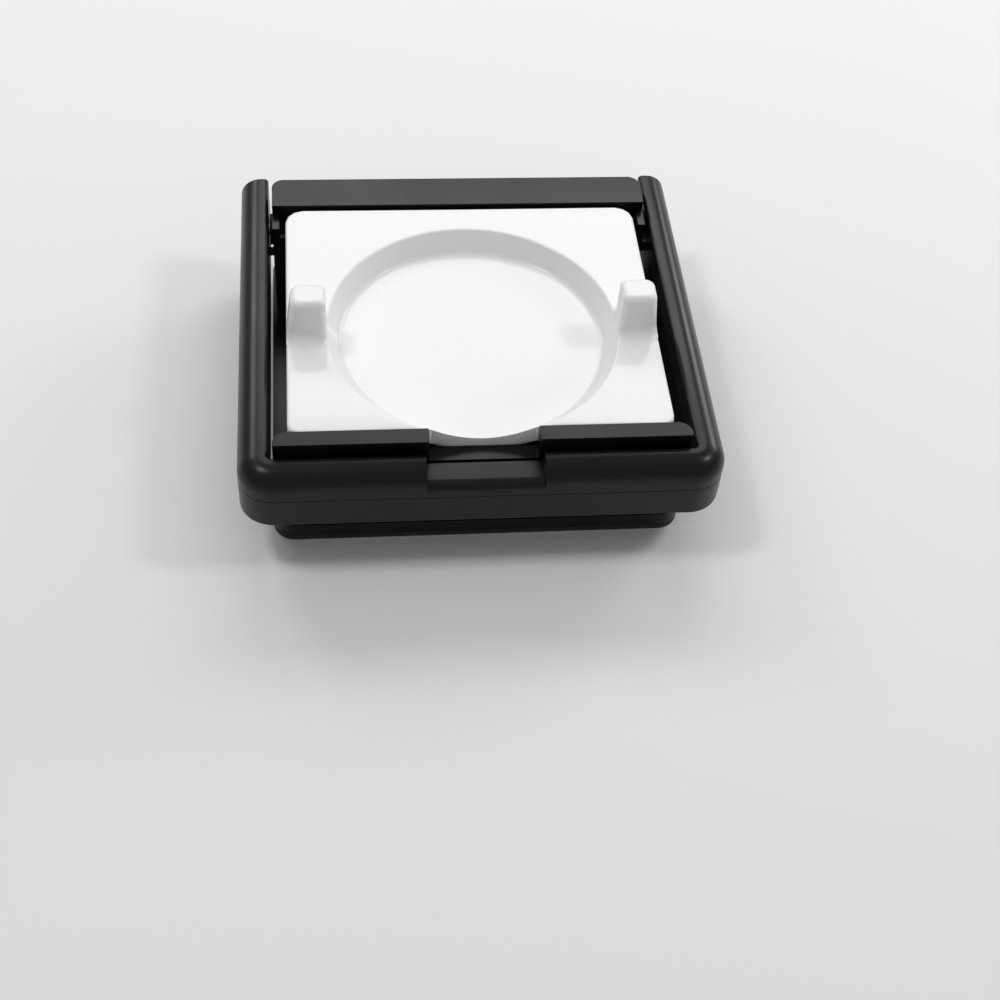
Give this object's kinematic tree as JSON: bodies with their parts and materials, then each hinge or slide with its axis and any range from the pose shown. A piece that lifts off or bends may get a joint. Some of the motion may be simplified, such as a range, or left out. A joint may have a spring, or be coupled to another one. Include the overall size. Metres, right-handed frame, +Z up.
{
  "type": "spoon rest",
  "caption": "Spoon rest with a lift-out drip tray, a handle notch and a U-shaped stand that folds up behind two lugs to prop a pot lid.",
  "frame": {"origin": "on the worktop, under the middle of the object's overall box", "axes": "+X to the right, +Y from the front notch towards the hinge, +Z up"},
  "size_m": [0.141, 0.1298, 0.0551],
  "materials": {
    "black_plastic": "satin",
    "black_rubber": "matte",
    "screw_steel": "plated",
    "pin_steel": "ground",
    "nylon": "matte",
    "white_gloss": "glossy"
  },
  "bodies": {
    "base": {"base_frame": "black_plastic", "base_plate": "black_plastic", "non_slip_sole": "black_rubber", "base_screws": "screw_steel", "hinge_pin_left": "pin_steel", "hinge_pin_right": "pin_steel", "hinge_washer_left": "nylon", "hinge_washer_right": "nylon"},
    "lid_stand": {"stand_upper_shell": "black_plastic", "stand_lower_shell": "black_plastic", "stand_screws": "screw_steel"},
    "drip_tray": {"drip_tray": "white_gloss"}
  },
  "joints": [
    {"name": "stand_hinge", "type": "hinge", "parent": "base", "child": "lid_stand", "pos_m": [0, 0.0489, 0.0303], "axis": [-1, 0, 0], "range_deg": [0, 105]},
    {"name": "tray_lift", "type": "slide", "parent": "base", "child": "drip_tray", "axis": [0, 0, 1], "range_m": [0, 0.03]}
  ]
}
